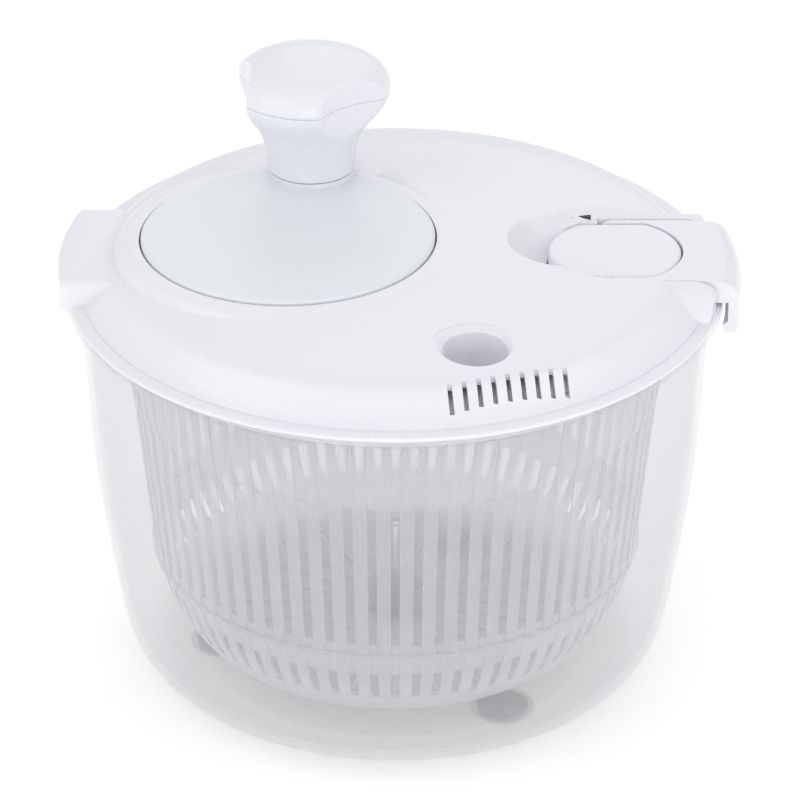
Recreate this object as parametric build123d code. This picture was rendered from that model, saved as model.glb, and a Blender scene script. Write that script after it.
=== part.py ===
from build123d import *

import math
import os

os.makedirs("parts", exist_ok=True)

# A crank salad spinner: a clear bowl, a slotted basket that turns inside it, and a lid that
# holds the crank, its gears, a brake button and a latch. Millimetres, +Z up. The origin is the
# middle of the bowl's underside on the table, and +X runs from the fixed lug to the latch.

# ---- driving dimensions -------------------------------------------------------------------
RIM_R = 120.0            # outer radius of the bowl's rim
RIM_Z = 153.0            # top of the rim, where the lid rests
BOWL_WALL = 2.4
BOWL_LIFT = 0.8          # the bowl's foot ring stands this far off the table
BOWL_UNDER_Z = 2.8       # underside of the floor, inside the foot ring
BOWL_FLOOR_Z = 5.2

FOOT_R = 9.5
FOOT_CIRCLE_R = 66.8
FOOT_ANGLES = (-53.4, 66.6, 186.6)

PIVOT_R = 5.0
PIVOT_TOP_Z = 20.0
BUSH_R = 8.0
BUSH_LOW_Z = 13.0
BUSH_TOP_Z = 22.0
RUN_FIT = 0.06           # radial play of every shaft that turns in a hole

BASKET_WALL = 1.8
BASKET_LOW_Z = 12.0
BASKET_TOP_Z = 148.0
BASKET_TOP_R = 101.0
RIB_COUNT = 72
SLOT_WIDTH = 3.2
SLOT_LOW_Z = 52.0
SLOT_TOP_Z = 112.0
FLOOR_SLOT_COUNT = 24
DRIVE_LUGS = 4

LID_WALL = 2.4
LID_TOP_Z = 170.5
LIP_R = 119.6
LIP_TOP_Z = 154.4
SKIRT_R = 111.4
SKIRT_LOW_Z = 146.5

CRANK_X = -39.0          # the crank's axis; the gears' centre distance is the same
DISC_R = 53.5
DISC_TOP_Z = 172.0
DISC_GAP = 0.7
WELL_FLOOR_Z = 164.8     # floor of the round well that the disc turns in
WELL_UNDER_Z = 162.6
RING_TOP_Z = 170.6       # the raised ring round the disc
RING_R = 64.0
HUB_R = 9.0

MODULE = 1.3
GEAR_TEETH = 45
PINION_TEETH = 15
GEAR_LOW_Z = 151.2
GEAR_TOP_Z = 157.8
SHAFT_R = 3.0
COVER_LOW_Z = 146.4
COVER_FLOOR_Z = 148.2

KNOB_X = -31.4
KNOB_Y = 51.5
COLLAR_R = 16.5
COLLAR_LOW_Z = 171.7
COLLAR_TOP_Z = 174.0
SPINDLE_R = 4.0
KNOB_SEAM = 0.3
KNOB_PARTING_Z = 206.4
KNOB_TOP_Z = 219.4
HEAD_R = 29.8
SCOOP_ANGLES = (-53.0, 67.0, 187.0)
SCOOP_R = 31.0           # the finger scoops in the knob are parts of wide cylinders
SCOOP_REACH = 22.2       # how near to the knob's axis they come

PLATE_Z = 141.0          # underside of the rotor plate
PLATE_R = 97.6
PLATE_SLOTS = 24

PIN_X = 80.0             # the pin that the latch and the brake button share
PIN_Z = 160.0
PIN_R = 1.5
LATCH_TOP_Z = 165.1      # the brake pad and the latch arm are flush with each other
PAD_R = 24.2
PAD_HALF_WIDTH = 21.0
PAD_GAP = 0.6
PRONG_END_R = 5.1        # the prongs' ends are rounded about the pin
ARM_HALF_WIDTH = 24.2
ARM_R = 126.0            # the hook's outer face follows the rim
HOOK_TOE_R = 120.6
HOOK_INNER_R = 122.4
HOOK_LOW_Z = 144.0
RECESS_HALF_WIDTH = 24.8
RECESS_FLOOR_Z = 154.6
RECESS_UNDER_Z = 152.6
POCKET_X = 62.0          # the finger pocket is part of a ball
POCKET_R = 24.0
POCKET_LOW_Z = 156.8
SPRING_X = 68.0
SHOE_X = 62.0

LUG_R = 122.8
LUG_FRONT_Y = -25.0
LUG_BACK_Y = 36.0
LUG_TOP_Z = 164.2

FILL_X = 28.0
FILL_Y = -79.0
FILL_R = 11.0

VENT_COUNT = 9
VENT_WIDTH = 1.7
VENT_LENGTH = 8.6


# ---- helpers ------------------------------------------------------------------------------
def post(radius, low, high, x=0.0, y=0.0):
    """A plain upright cylinder between two heights."""
    base = (Align.CENTER, Align.CENTER, Align.MIN)
    return Pos(x, y, low) * Cylinder(radius, high - low, align=base)


def tube(outer, inner, low, high, x=0.0, y=0.0):
    """An upright cylinder with a hole through it."""
    return post(outer, low, high, x, y) - post(inner, low - 1, high + 1, x, y)


def block(x_low, x_high, y_low, y_high, z_low, z_high):
    """A box between two corners."""
    base = (Align.MIN, Align.MIN, Align.MIN)
    size = (x_high - x_low, y_high - y_low, z_high - z_low)
    return Pos(x_low, y_low, z_low) * Box(*size, align=base)


def lathe(outline, x=0.0, y=0.0):
    """Turn a closed outline of (radius, height) about the upright line at x, y."""
    return Pos(x, y, 0) * revolve(Plane.XZ * make_face(outline), Axis.Z)


def around(count, start=0.0):
    """Equally spaced turns about the main axis."""
    return [Rot(0, 0, start + 360 * index / count) for index in range(count)]


def side_plate(points, half_width):
    """A solid with an outline of (x, z) points, as wide on both sides of the X axis."""
    face = Plane.XZ * make_face(Polyline(*points, close=True))
    return extrude(face, half_width, both=True)


def write(name, shape):
    """Write one sub-part to its own file."""
    if isinstance(shape, list):
        shape = Compound(children=shape)
    export_step(shape, f"parts/{name}.step")
    print(name, round(shape.volume / 1000, 2), "cm3")


# ---- bowl ---------------------------------------------------------------------------------
def bowl():
    """Clear bowl: a foot ring, a rounded base, a slightly flaring wall and a flat rim."""
    foot_in, foot_out = (76.6, BOWL_LIFT), (84.0, BOWL_LIFT)
    rim_under = RIM_Z - 2.6
    outer = Spline(foot_out, (94.0, 4.4), (101.2, 14.0), (105.0, 32.0), (109.9, 65.0),
                   (114.0, 120.0), (115.4, rim_under), tangents=[(1, 0.1), (0.03, 1)])
    inner = Spline((115.4 - BOWL_WALL, RIM_Z), (114.0 - BOWL_WALL, 120.0), (109.9 - BOWL_WALL, 65.0),
                   (105.0 - BOWL_WALL, 33.0), (98.6, 15.6), (90.6, 7.0), (82.0, BOWL_FLOOR_Z),
                   tangents=[(-0.03, -1), (-1, 0)])
    rim = Polyline((115.4, rim_under), (RIM_R - 0.6, rim_under), (RIM_R, rim_under + 0.6),
                   (RIM_R, RIM_Z - 0.5), (RIM_R - 0.5, RIM_Z), (115.4 - BOWL_WALL, RIM_Z))
    floor = Polyline((82.0, BOWL_FLOOR_Z), (0, BOWL_FLOOR_Z), (0, BOWL_UNDER_Z), (75.4, BOWL_UNDER_Z),
                     foot_in, foot_out)
    shell = lathe(Curve() + outer + rim + inner + floor)
    boss = lathe(Polyline((0, BOWL_FLOOR_Z - 1), (13.0, BOWL_FLOOR_Z - 1), (13.0, 6.0), (9.5, 11.4),
                          (0, 11.4), close=True))
    seats = [turn * tube(FOOT_R + 2.2, FOOT_R + 0.2, 1.2, BOWL_UNDER_Z + 0.4, FOOT_CIRCLE_R)
             for turn in (Rot(0, 0, angle) for angle in FOOT_ANGLES)]
    pads = [Rot(0, 0, angle) * post(FOOT_R + 0.2, 0, BOWL_UNDER_Z, FOOT_CIRCLE_R) for angle in FOOT_ANGLES]
    return shell + boss + seats - pads - post(PIVOT_R, 7.4, 12.0)


def rubber_foot(angle):
    """Soft round foot stuck to the bowl's underside, inside its moulded ring."""
    pad = post(FOOT_R, 0, BOWL_UNDER_Z, FOOT_CIRCLE_R)
    pad = fillet(pad.edges().group_by(Axis.Z)[0], 0.9)
    return Rot(0, 0, angle) * pad


def pivot_pin():
    """Steel pin with a domed top, set in the boss on the bowl's floor."""
    pin = post(PIVOT_R, 7.4, PIVOT_TOP_Z)
    return fillet(pin.edges().group_by(Axis.Z)[-1], 2.4)


# ---- basket -------------------------------------------------------------------------------
def basket_bush():
    """Grey cup that stands over the pin and carries the basket."""
    cup = post(BUSH_R, BUSH_LOW_Z, BUSH_TOP_Z) + post(BUSH_R + 2.0, BUSH_LOW_Z - 1.2, BUSH_LOW_Z)
    cup -= post(PIVOT_R + RUN_FIT, BUSH_LOW_Z - 2, PIVOT_TOP_Z)
    return fillet(cup.edges().group_by(Axis.Z)[-1], 1.0)


def basket_radius(height):
    """Outer radius of the basket's straight wall at a height."""
    low, middle, high = (46.0, 90.2), (116.0, 96.6), (BASKET_TOP_Z, BASKET_TOP_R)
    start, end = (low, middle) if height < middle[0] else (middle, high)
    share = (height - start[0]) / (end[0] - start[0])
    return start[1] + share * (end[1] - start[1])


def basket_profile(inset, low, top):
    """Half section of the basket, drawn inwards from its outer face."""
    corner = Spline((66.0, low), (79.0 - inset, 19.6 + inset / 2), (basket_radius(46.0) - inset, 46.0),
                    tangents=[(1, 0), (0.1, 1)])
    wall = Polyline((basket_radius(46.0) - inset, 46.0), (basket_radius(116.0) - inset, 116.0),
                    (basket_radius(BASKET_TOP_Z) - inset, BASKET_TOP_Z))
    if top > BASKET_TOP_Z:
        wall = Curve() + wall + Line((BASKET_TOP_R - inset, BASKET_TOP_Z), (BASKET_TOP_R - inset, top))
    back = Polyline((BASKET_TOP_R - inset, top), (0, top), (0, low), (66.0, low))
    return Curve() + corner + wall + back


def basket():
    """Milky basket: a slotted floor and wall, a solid upper band and notches for the drive."""
    shell = lathe(basket_profile(0, BASKET_LOW_Z, BASKET_TOP_Z))
    shell -= lathe(basket_profile(BASKET_WALL, BASKET_LOW_Z + BASKET_WALL, BASKET_TOP_Z + 5))
    shell += tube(BASKET_TOP_R + 1.6, BASKET_TOP_R - BASKET_WALL, BASKET_TOP_Z - 2.4, BASKET_TOP_Z)
    ring_r = basket_radius(47.0)
    shell += tube(ring_r + 1.0, ring_r - 1.0, 46.4, 48.0)
    shell += post(BUSH_R + 3.0, BASKET_LOW_Z + 1, BUSH_TOP_Z + 2.4)
    shell -= post(BUSH_R + RUN_FIT, BASKET_LOW_Z + 1, BUSH_TOP_Z + 0.4)
    shell -= post(BUSH_R + 2.4, BASKET_LOW_Z - 1, BUSH_LOW_Z + 0.06)
    half = SLOT_WIDTH / 2
    cuts = [turn * block(84.0, 104.0, -half, half, SLOT_LOW_Z, SLOT_TOP_Z) for turn in around(RIB_COUNT)]
    cuts += [turn * block(26.0, 62.0, -1.6, 1.6, BASKET_LOW_Z - 1, BASKET_LOW_Z + 3)
             for turn in around(FLOOR_SLOT_COUNT)]
    cuts += [turn * block(70.0, 96.0, -1.5, 1.5, 22.0, 38.0) for turn in around(RIB_COUNT)]
    cuts += [turn * block(90.0, 99.9, -7.4, 7.4, 142.6, BASKET_TOP_Z + 1)
             for turn in around(DRIVE_LUGS, 45)]
    return shell - cuts


# ---- lid ----------------------------------------------------------------------------------
def dome(drop, base):
    """Solid under the lid's skin, lowered by a wall thickness, down to a flat base."""
    edge = drop * 0.45
    top = Spline((0, LID_TOP_Z - drop), (60.0, 169.4 - drop), (92.0, 167.2 - drop),
                 (103.0 - edge, 165.0 - drop), tangents=[(1, 0), (1, -0.3)])
    shoulder = Spline((103.0 - edge, 165.0 - drop), (106.0 - edge, 163.0 - drop),
                      (112.4 - edge, 156.4 - drop), (114.6 - edge, LIP_TOP_Z + 0.6 - drop),
                      tangents=[(1, -0.3), (1, -0.5)])
    closing = Polyline((114.6 - edge, LIP_TOP_Z + 0.6 - drop), (114.6 - edge, base), (0, base),
                       (0, LID_TOP_Z - drop))
    return lathe(Curve() + top + shoulder + closing)


def disc_ring(inner, outer, top, base):
    """Raised ring round the disc: a flat top that rolls over into the dome."""
    roll = ThreePointArc((outer - 6.5, top), (outer - 1.9, top - 1.9), (outer, top - 6.5))
    rest = Polyline((outer, top - 6.5), (outer, base), (inner, base), (inner, top), (outer - 6.5, top))
    return lathe(Curve() + roll + rest, CRANK_X)


def fill_funnel(extra):
    """Smooth funnel of the fill hole, as a solid that is a wall thicker all round."""
    mouth = 171.0
    roll = ThreePointArc((FILL_R + extra, 165.0), (FILL_R + 1.2 + extra, 167.0), (FILL_R + 4.6 + extra, 168.6))
    rest = Polyline((FILL_R + 4.6 + extra, 168.6), (FILL_R + 4.6 + extra, mouth), (0, mouth), (0, 151.0),
                    (7.6 + extra, 151.0), (FILL_R + extra, 165.0))
    return lathe(Curve() + roll + rest, FILL_X, FILL_Y)


def recess_plan(extra, low, high):
    """Plan of the latch recess: close round the pad, then as wide as the arm out to the rim."""
    start = PIN_X - PRONG_END_R - 0.5 - extra
    half = RECESS_HALF_WIDTH + extra
    return pad_solid(-PAD_GAP - extra, low, high) + block(start, RIM_R + 10, -half, half, low, high)


def recess_step():
    """Sloping step down from the dome to the level of the pad and the arm."""
    high, spread = 6.0, 6.6
    inner = RECESS_HALF_WIDTH + 0.4
    end = Cone(inner, inner + spread, high, align=(Align.CENTER, Align.CENTER, Align.MIN))
    section = [(-inner, 0), (inner, 0), (inner + spread, high), (-inner - spread, high)]
    run = extrude(Plane.YZ * make_face(Polyline(*section, close=True)), 60.0)
    return Pos(PIN_X, 0, LATCH_TOP_Z) * (end + run)


def finger_pocket(extra):
    """Round scoop at the pad's inner end, as a solid that is a wall thicker all round."""
    return Pos(POCKET_X, 0, POCKET_LOW_Z + POCKET_R) * Sphere(POCKET_R + extra)


def cheeks(shrink):
    """Swelling of the dome on both sides of the latch arm, out over the slope."""
    side = [(90.0, RIM_Z), (90.0, 166.4), (100.0, 165.9), (108.0, 165.2), (113.0, 163.7), (116.2, 160.6),
            (117.8, 156.4), (118.2, RIM_Z)]
    across = [(27.5, 165.9), (30.5, 164.4), (33.5, 161.4), (36.0, 157.4), (37.5, RIM_Z)]
    side = [(x - 0.7 * shrink, z - shrink) for x, z in side]
    across = [(y - 0.7 * shrink, z - shrink) for y, z in across]
    outline = [(-y, z) for y, z in reversed(across)] + across
    prism = extrude(Plane.YZ * make_face(Polyline(*outline, close=True)), RIM_R)
    return side_plate(side, 40.0) & prism & post(118.2 - shrink, RIM_Z - shrink, LID_TOP_Z)


def lug(shrink):
    """Fixed lug opposite the latch: a flat hood over the rim that ends on a circle."""
    low = RIM_Z - shrink
    hood = post(LUG_R - shrink, low, LUG_TOP_Z - shrink)
    hood &= block(-RIM_R - 10, -99.0 - 2 * shrink, LUG_FRONT_Y + shrink, LUG_BACK_Y - shrink, low, LUG_TOP_Z)
    hood = fillet(hood.edges().filter_by(Axis.Z), 3.0 - shrink / 2)
    return fillet(hood.edges().group_by(Axis.Z)[-1], 2.2 - shrink / 2)


def lid_shell():
    """White lid with the disc's well, the latch recess, the fill funnel and the vents."""
    base = RIM_Z
    lip = post(LIP_R, base, LIP_TOP_Z)
    lip = fillet(lip.edges().group_by(Axis.Z)[-1], 0.9)
    skin = dome(0, base) + lip + disc_ring(DISC_R, RING_R, RING_TOP_Z, base) + lug(0) + cheeks(0)
    hollow = dome(LID_WALL, base - 2)
    ring_hollow = disc_ring(DISC_R + 3.2, RING_R - LID_WALL, RING_TOP_Z - LID_WALL, base - 2)
    shell = skin - hollow - ring_hollow - lug(LID_WALL) - cheeks(LID_WALL)
    shell += tube(SKIRT_R, SKIRT_R - 2.0, SKIRT_LOW_Z, base + 1.0)
    well_r = DISC_R + DISC_GAP
    shell += post(well_r + 2.8, WELL_UNDER_Z, RING_TOP_Z - 1.0, CRANK_X)
    shell -= post(well_r, WELL_FLOOR_Z, RING_TOP_Z + 1, CRANK_X)
    shell += post(HUB_R + 4.0, 158.2, WELL_UNDER_Z, CRANK_X)
    shell -= post(HUB_R + 1.6, 150.0, 170.0, CRANK_X)
    shell += post(SHAFT_R + 3.0, 158.2, WELL_UNDER_Z)
    shell -= post(SHAFT_R + RUN_FIT, 150.0, 162.2)
    for x, y in cover_screw_places():
        shell += post(4.0, 156.2, WELL_UNDER_Z, x, y)
        shell -= post(1.3, 150.0, WELL_UNDER_Z - 0.6, x, y)
    tray = recess_plan(2.2, RECESS_UNDER_Z, LID_TOP_Z) + (finger_pocket(2.2) & block(30, 90, -40, 40, 150, 175))
    shell += tray & (dome(0, base) + cheeks(0))
    shell -= recess_plan(0, RECESS_FLOOR_Z, LID_TOP_Z + 10) + recess_step() + finger_pocket(0)
    shell += fill_funnel(2.2) & dome(0.01, 140.0)
    shell -= fill_funnel(0)
    shell -= rod_along_y(PIN_R + 0.02, 27.0)
    shell -= block(SHOE_X - 4.6, SHOE_X + 4.6, -7.4, 7.4, 150.0, 156.0)
    return shell - vents()


def vents():
    """Row of parallel drain slots through the sloping band."""
    slots = []
    for index in range(VENT_COUNT):
        place = Pos(18.4 + 5.0 * index, -100.6 + 1.75 * index, 161.5) * Rot(0, 0, 8)
        slot = Box(VENT_WIDTH, VENT_LENGTH, 11.0, align=(Align.CENTER, Align.MAX, Align.CENTER))
        slots.append(place * slot)
    return slots


def cover_screw_places():
    """Screw places of the gear cover, round the crank's axis."""
    reach = 39.5
    return [(CRANK_X + reach * math.cos(math.radians(angle)), reach * math.sin(math.radians(angle)))
            for angle in (90, 180, 270)]


def rod_along_y(radius, half_length):
    """A rod on the shared pin's axis."""
    return Pos(PIN_X, 0, PIN_Z) * Rot(90, 0, 0) * Cylinder(radius, 2 * half_length)


def gear_cover():
    """Tray under the lid that closes the gears in and holds the shaft's lower bush."""
    def hull(grow, low, high):
        big = Pos(CRANK_X, 0) * Circle(34.0 + grow)
        small = Circle(15.0 + grow)
        return extrude(Pos(0, 0, low) * make_hull((big + small).edges()), high - low)
    tray = hull(2.0, COVER_LOW_Z, WELL_UNDER_Z) - hull(0, COVER_FLOOR_Z, WELL_UNDER_Z + 1)
    for x, y in cover_screw_places():
        tray += post(4.4, 154.2, 156.2, x, y) - hull(1.0, 150.0, 160.0)
        tray -= post(4.2, 156.2, WELL_UNDER_Z + 1, x, y)
        tray -= post(1.7, 150.0, 160.0, x, y)
        tray -= post(3.4, 150.0, 154.2, x, y)
    tray += post(8.0, COVER_LOW_Z, 150.6)
    return tray - post(5.5, 140.0, 160.0)


def cover_screws():
    """Three pan-head screws that hold the gear cover."""
    return [post(3.0, 152.4, 154.2, x, y) + post(1.25, 154.2, 161.0, x, y)
            for x, y in cover_screw_places()]


def drive_bush():
    """Plain bush for the rotor's shaft in the gear cover."""
    return tube(5.5, SHAFT_R + RUN_FIT, COVER_LOW_Z, 150.6)


def crank_bush():
    """Flanged bush that the crank's hub turns in."""
    return tube(HUB_R + 1.6, HUB_R + RUN_FIT, 158.2, WELL_FLOOR_Z, CRANK_X)


# ---- gears --------------------------------------------------------------------------------
def gear_face(teeth, first_angle):
    """Spur gear outline: involute flanks with a little backlash, and short tips."""
    pitch_r = MODULE * teeth / 2
    base_r = pitch_r * math.cos(math.radians(20))
    tip_r = pitch_r + 0.8 * MODULE
    root_r = pitch_r - 1.2 * MODULE

    def roll(radius):
        ratio = max(radius / base_r, 1.0)
        swing = math.sqrt(ratio * ratio - 1)
        return swing - math.atan(swing)

    half_tooth = (math.pi * MODULE / 2 - 0.3) / 2 / pitch_r + roll(pitch_r)
    radii = [root_r, pitch_r - 0.5 * MODULE, pitch_r, tip_r]
    points = []
    for tooth in range(teeth):
        middle = math.radians(first_angle) + 2 * math.pi * tooth / teeth
        flank = [(radius, half_tooth - roll(radius)) for radius in radii]
        for radius, half in flank:
            points.append((radius * math.cos(middle - half), radius * math.sin(middle - half)))
        for radius, half in reversed(flank):
            points.append((radius * math.cos(middle + half), radius * math.sin(middle + half)))
    return make_face(Polyline(*points, close=True))


def crank_gear():
    """Large gear keyed to the crank's hub by a hexagon."""
    rim = extrude(gear_face(GEAR_TEETH, 180 / GEAR_TEETH), GEAR_TOP_Z - GEAR_LOW_Z)
    rim -= tube(25.0, 11.0, -1.0, 2.0) + tube(25.0, 11.0, 4.6, 8.0)
    rim = Pos(CRANK_X, 0, GEAR_LOW_Z) * rim
    return rim - hexagon(6.55, 140.0, 160.0)


def hexagon(radius, low, high):
    """Hexagonal key on the crank's axis."""
    return extrude(Pos(CRANK_X, 0, low) * RegularPolygon(radius, 6), high - low)


def drive_pinion():
    """Small gear on the rotor's shaft."""
    wheel = extrude(gear_face(PINION_TEETH, 180), GEAR_TOP_Z - GEAR_LOW_Z)
    return Pos(0, 0, GEAR_LOW_Z) * wheel - post(SHAFT_R, 140.0, 170.0)


# ---- crank --------------------------------------------------------------------------------
def crank_disc():
    """Flat disc with a hub below and the collar that carries the knob."""
    disc = post(DISC_R, 166.4, DISC_TOP_Z, CRANK_X)
    disc = chamfer(disc.edges().group_by(Axis.Z)[-1], 0.9)
    disc -= tube(DISC_R - 2.2, HUB_R + 2.0, 160.0, DISC_TOP_Z - 2.4, CRANK_X)
    for angle in range(0, 360, 60):
        disc += Pos(CRANK_X, 0) * Rot(0, 0, angle) * block(HUB_R, DISC_R - 1.5, -0.9, 0.9, 167.6, 170.0)
    disc += post(HUB_R, 158.0, DISC_TOP_Z - 1, CRANK_X)
    disc += hexagon(6.5, GEAR_LOW_Z, 158.0)
    disc -= post(1.5, 140.0, 164.0, CRANK_X)
    collar = post(COLLAR_R, COLLAR_LOW_Z, COLLAR_TOP_Z, KNOB_X, KNOB_Y)
    collar = fillet(collar.edges().group_by(Axis.Z)[-1], 0.5)
    disc += collar
    disc -= post(6.5, COLLAR_LOW_Z - 1.0, COLLAR_LOW_Z + 1.0, KNOB_X, KNOB_Y)
    return disc - post(SPINDLE_R, COLLAR_LOW_Z, COLLAR_TOP_Z + 1, KNOB_X, KNOB_Y)


def crank_washer():
    return tube(9.0, 1.7, 150.0, GEAR_LOW_Z, CRANK_X)


def crank_screw():
    """Screw that draws the gear up on the crank's hub."""
    return post(3.2, 148.7, 150.0, CRANK_X) + post(1.5, 150.0, 163.0, CRANK_X)


# ---- knob ---------------------------------------------------------------------------------
def knob_spindle():
    """Shouldered steel spindle that the knob turns on, pressed up through the collar."""
    shoulder = post(6.5, COLLAR_LOW_Z, COLLAR_LOW_Z + 1.0, KNOB_X, KNOB_Y)
    pin = post(SPINDLE_R, COLLAR_LOW_Z, 196.0, KNOB_X, KNOB_Y) + shoulder
    return pin - post(1.5, 188.0, 197.0, KNOB_X, KNOB_Y)


def knob_washer():
    return tube(7.0, 1.7, 196.0, 197.0, KNOB_X, KNOB_Y)


def knob_screw():
    """Screw in the end of the spindle that keeps the knob on."""
    return post(3.0, 197.0, 198.6, KNOB_X, KNOB_Y) + post(1.5, 189.0, 197.0, KNOB_X, KNOB_Y)


def scoops():
    """Three wide finger scoops round the knob's head."""
    reach = SCOOP_REACH + SCOOP_R
    return [Pos(KNOB_X, KNOB_Y) * Rot(0, 0, angle) * post(SCOOP_R, COLLAR_TOP_Z, KNOB_TOP_Z + 5, reach)
            for angle in SCOOP_ANGLES]


def knob_flare(inset, low, high):
    """Solid of the knob's neck and flare, drawn inwards from its outer face."""
    neck, rim = COLLAR_R - inset, HEAD_R - 0.2 - inset
    side = Spline((neck, 179.0), (17.6 - inset, 184.5), (21.4 - inset, 193.0), (25.4 - inset, 198.0),
                  (28.8 - inset, 203.0), (rim, KNOB_PARTING_Z), tangents=[(0.06, 1), (0.1, 1)])
    rest = Polyline((rim, KNOB_PARTING_Z), (rim, high), (0, high), (0, low), (neck, low), (neck, 179.0))
    return lathe(Curve() + side + rest, KNOB_X, KNOB_Y)


def knob_stem():
    """Lower half of the knob: a round neck that flares out, with a sleeve on the spindle."""
    low = COLLAR_TOP_Z + KNOB_SEAM
    stem = knob_flare(0, low, KNOB_PARTING_Z + 0.5) & post(60, low, KNOB_PARTING_Z, KNOB_X, KNOB_Y)
    stem -= scoops()
    core = knob_flare(2.2, low + 2.4, KNOB_PARTING_Z + 1.0) & post(19.0, low, 210, KNOB_X, KNOB_Y)
    stem -= core
    stem += post(7.0, low, 195.7, KNOB_X, KNOB_Y)
    return stem - post(SPINDLE_R + RUN_FIT, 170.0, 200.0, KNOB_X, KNOB_Y)


def knob_head():
    """Domed cap of the knob with three finger scoops, hollow below."""
    high = KNOB_TOP_Z - KNOB_PARTING_Z
    side = Spline((HEAD_R, KNOB_PARTING_Z), (26.4, KNOB_PARTING_Z + 0.54 * high),
                  (15.6, KNOB_PARTING_Z + 0.86 * high), (0, KNOB_TOP_Z), tangents=[(0, 1), (-1, 0)])
    rest = Polyline((0, KNOB_TOP_Z), (0, KNOB_PARTING_Z), (HEAD_R, KNOB_PARTING_Z))
    head = lathe(Curve() + side + rest, KNOB_X, KNOB_Y) - scoops()
    return head - post(15.0, KNOB_PARTING_Z - 1, KNOB_PARTING_Z + 0.6 * high, KNOB_X, KNOB_Y)


# ---- rotor --------------------------------------------------------------------------------
def rotor_shaft():
    """Steel shaft from the lid's boss down through the pinion to the rotor plate."""
    return post(SHAFT_R, 135.0, 161.8) - post(1.2, 134.0, 143.0)


def rotor_plate():
    """Slotted plate that covers the basket and drives it by lugs in its top edge."""
    profile = Polyline((SHAFT_R, 136.4), (9.0, 136.4), (9.0, PLATE_Z), (PLATE_R - 2, PLATE_Z), (PLATE_R, 143.0),
                       (PLATE_R, 147.4), (PLATE_R - 1.8, 147.4), (PLATE_R - 2.4, 143.2), (9.0, 143.2),
                       (9.0, 145.4), (SHAFT_R, 145.4), close=True)
    plate = lathe(profile)
    plate += [turn * block(PLATE_R - 1.5, BASKET_TOP_R - 1.6, -6.6, 6.6, 143.2, 147.4)
              for turn in around(DRIVE_LUGS, 45)]
    plate += [turn * block(8.0, PLATE_R - 2, -1.0, 1.0, 142.0, 144.8) for turn in around(6, 7.5)]
    cuts = [turn * block(24.0, 84.0, -2.2, 2.2, PLATE_Z - 1, 146.0) for turn in around(PLATE_SLOTS)]
    return plate - cuts


def rotor_washer():
    return tube(7.0, 1.4, 134.0, 135.0) + tube(7.0, SHAFT_R + 0.2, 135.0, 136.4)


def rotor_screw():
    """Screw under the rotor plate, in the end of the shaft."""
    return post(2.8, 132.4, 134.0) + post(1.2, 134.0, 142.0)


# ---- latch and brake ----------------------------------------------------------------------
def latch_pin():
    """Steel pin through the lid's cheeks that the latch and the brake button turn on."""
    return rod_along_y(PIN_R, 26.6)


def latch_arm():
    """Forked latch: two prongs on the pin, a bridge over the slope and a hook outside the rim."""
    half, inner_half = ARM_HALF_WIDTH, PAD_HALF_WIDTH + PAD_GAP
    under, edge_z = 157.0, 156.0
    corner = ThreePointArc((119.4, 164.3), (124.2, 161.6), (ARM_R, edge_z))
    outside = [(ARM_R, edge_z), (ARM_R, HOOK_LOW_Z + 1.2), (ARM_R - 1.2, HOOK_LOW_Z)]
    toe = [(HOOK_TOE_R + 0.8, HOOK_LOW_Z), (HOOK_TOE_R, HOOK_LOW_Z + 0.8), (HOOK_TOE_R, HOOK_LOW_Z + 3.0),
           (HOOK_INNER_R, HOOK_LOW_Z + 4.4), (HOOK_INNER_R, edge_z)]
    top = [(116.0, edge_z), (90.0, under), (60.0, under), (60.0, LATCH_TOP_Z), (110.0, LATCH_TOP_Z - 0.1),
           (119.4, 164.3)]
    body = lathe(Curve() + corner + Polyline(*outside, *toe, *top))
    hollow = lathe(Polyline((107.0, 150.0), (107.0, 162.6), (118.4, 161.9), (120.0, 160.6), (120.0, 150.0),
                            close=True))
    hollow &= block(90.0, 130.0, 2.4 - half, half - 2.4, 140.0, 170.0)
    arm = (body - hollow) & block(PIN_X, 130.0, -half, half, 140.0, 170.0)
    prongs = Pos(PIN_X, 0, PIN_Z) * Rot(90, 0, 0) * Cylinder(PRONG_END_R, 2 * half)
    arm += prongs & block(70.0, 90.0, -half, half, under, LATCH_TOP_Z)
    arm -= pad_solid(-PAD_GAP, 150.0, 180.0)
    arm -= block(60.0, PIN_X + 12.0, -inner_half, inner_half, 150.0, 180.0)
    return arm - rod_along_y(PIN_R + RUN_FIT, 40.0)


def pad_solid(shrink, low, top):
    """Round pad with its sides cut straight."""
    half = PAD_HALF_WIDTH - shrink
    return post(PAD_R - shrink, low, top, PIN_X) & block(50.0, 110.0, -half, half, low, top)


def brake_button():
    """Round-ended pad that rocks on the pin and pushes the brake shoe down."""
    pad = pad_solid(0, 158.4, LATCH_TOP_Z)
    pad = fillet(pad.edges().group_by(Axis.Z)[-1], 1.4)
    pad -= pad_solid(2.2, 150.0, LATCH_TOP_Z - 2.6)
    for side in (-1, 1):
        middle = 12.0 * side
        pad += block(PIN_X - 3.4, PIN_X + 3.4, middle - 1.2, middle + 1.2, 156.6, LATCH_TOP_Z - 2)
    pad += post(1.6, 158.6, LATCH_TOP_Z - 2, SPRING_X)
    pad += block(SHOE_X - 1.6, SHOE_X + 1.6, -5.0, 5.0, 150.4, LATCH_TOP_Z - 2)
    return pad - rod_along_y(PIN_R + RUN_FIT, 40.0)


def brake_shoe():
    """Rubber shoe on the foot of the button's leg, just above the rotor plate."""
    shoe = block(SHOE_X - 3.0, SHOE_X + 3.0, -6.0, 6.0, 147.8, 152.4)
    return shoe - block(SHOE_X - 1.6, SHOE_X + 1.6, -5.0, 5.0, 150.4, 160.0)


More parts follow.
